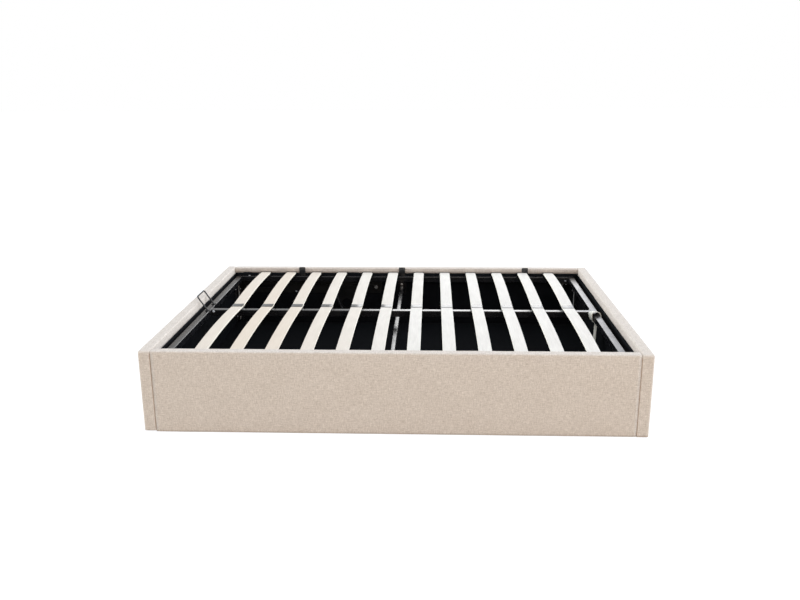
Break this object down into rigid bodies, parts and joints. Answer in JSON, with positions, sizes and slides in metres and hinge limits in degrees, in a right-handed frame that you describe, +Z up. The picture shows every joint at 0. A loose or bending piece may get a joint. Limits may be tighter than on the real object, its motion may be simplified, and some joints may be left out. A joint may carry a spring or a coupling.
{
  "type": "ottoman storage bed",
  "caption": "Low upholstered storage bed base with a sprung slat platform on a steel frame that lifts at the foot end on two gas-strut hinges.",
  "frame": {"origin": "centre of the bed on the floor", "axes": "+X towards the foot end, +Y across the bed towards the side away from the camera, +Z up"},
  "size_m": [2, 1.46, 0.372],
  "materials": {
    "upholstery": "woven, nubby",
    "board": "raw board",
    "lining": "matt non-woven",
    "floor": "black faced board",
    "bearer": "raw pine",
    "glide": "moulded",
    "frame_steel": "black powder coat, glossy",
    "mechanism_steel": "black powder coat",
    "bolt_steel": "zinc plated",
    "rubber": "matt",
    "strut_body": "satin black",
    "strut_rod": "polished",
    "slat_wood": "pale birch veneer",
    "holder_plastic": "moulded black",
    "strap": "cream webbing"
  },
  "bodies": {
    "base": {"foot_panel_core": "board", "head_panel_core": "board", "right_rail_core": "board", "left_rail_core": "board", "foot_panel_cover": "upholstery", "head_panel_cover": "upholstery", "right_rail_cover": "upholstery", "left_rail_cover": "upholstery", "inner_lining": "lining", "floor_boards": "floor", "floor_bearers": "bearer", "glides": "glide", "corner_brackets": "frame_steel", "cross_beam": "frame_steel", "cross_beam_plates": "frame_steel", "base_bolts": "bolt_steel", "hinge_plate_right": "mechanism_steel", "hinge_plate_left": "mechanism_steel", "hinge_plate_screws": "bolt_steel", "arm_pivot_pins": "bolt_steel", "strut_foot_studs": "bolt_steel", "rest_brackets": "frame_steel", "rest_pads": "rubber"},
    "left_arm": {"lift_arm_left": "mechanism_steel", "strut_head_stud_left": "bolt_steel"},
    "right_arm": {"lift_arm_right": "mechanism_steel", "strut_head_stud_right": "bolt_steel"},
    "platform": {"head_tube": "frame_steel", "foot_tube": "frame_steel", "right_side_tube": "frame_steel", "left_side_tube": "frame_steel", "centre_tube": "frame_steel", "centre_tube_flanges": "frame_steel", "tube_end_caps": "holder_plastic", "hanger_right": "mechanism_steel", "hanger_left": "mechanism_steel", "hanger_pins": "bolt_steel", "slot_rollers": "glide", "side_slat_holders": "holder_plastic", "centre_slat_holders": "holder_plastic", "mattress_retainer": "frame_steel", "mattress_stoppers": "holder_plastic", "pull_strap": "strap", "frame_bolts": "bolt_steel", "slat_row_01": "slat_wood", "slat_row_02": "slat_wood", "slat_row_03": "slat_wood", "slat_row_04": "slat_wood", "slat_row_05": "slat_wood", "slat_row_06": "slat_wood", "slat_row_07": "slat_wood", "slat_row_08": "slat_wood", "slat_row_09": "slat_wood", "slat_row_10": "slat_wood", "slat_row_11": "slat_wood", "slat_row_12": "slat_wood"},
    "left_cylinder": {"strut_cylinder_left": "strut_body"},
    "right_cylinder": {"strut_cylinder_right": "strut_body"},
    "left_rod": {"strut_rod_left": "strut_rod"},
    "right_rod": {"strut_rod_right": "strut_rod"}
  },
  "joints": [
    {"name": "lift", "type": "hinge", "parent": "base", "child": "left_arm", "pos_m": [-0.16112, -0.6805, 0.235], "axis": [0, 1, 0], "range_deg": [0, 36]},
    {"name": "platform_hinge", "type": "hinge", "parent": "left_arm", "child": "platform", "pos_m": [-0.52056, -0.6805, 0.2551], "axis": [0, -1, 0], "range_deg": [0, 72]},
    {"name": "right_arm_hinge", "type": "hinge", "parent": "base", "child": "right_arm", "pos_m": [-0.16112, 0.6805, 0.235], "axis": [0, 1, 0], "range_deg": [0, 36]},
    {"name": "left_strut_foot", "type": "hinge", "parent": "base", "child": "left_cylinder", "pos_m": [-0.32927, -0.661, 0.05], "axis": [0, 1, 0], "range_deg": [0, 18]},
    {"name": "right_strut_foot", "type": "hinge", "parent": "base", "child": "right_cylinder", "pos_m": [-0.32927, 0.661, 0.05], "axis": [0, 1, 0], "range_deg": [0, 18]},
    {"name": "left_strut_head", "type": "hinge", "parent": "left_arm", "child": "left_rod", "pos_m": [-0.41073, -0.661, 0.24896], "axis": [0, -1, 0], "range_deg": [0, 18]},
    {"name": "right_strut_head", "type": "hinge", "parent": "right_arm", "child": "right_rod", "pos_m": [-0.41073, 0.661, 0.24896], "axis": [0, -1, 0], "range_deg": [0, 18]}
  ],
  "couplings": [
    {"joint": "platform_hinge", "follows": "lift", "ratio": 2},
    {"joint": "right_arm_hinge", "follows": "lift", "ratio": 1},
    {"joint": "left_strut_foot", "follows": "lift", "ratio": 0.5},
    {"joint": "right_strut_foot", "follows": "lift", "ratio": 0.5},
    {"joint": "left_strut_head", "follows": "lift", "ratio": 0.5},
    {"joint": "right_strut_head", "follows": "lift", "ratio": 0.5}
  ]
}
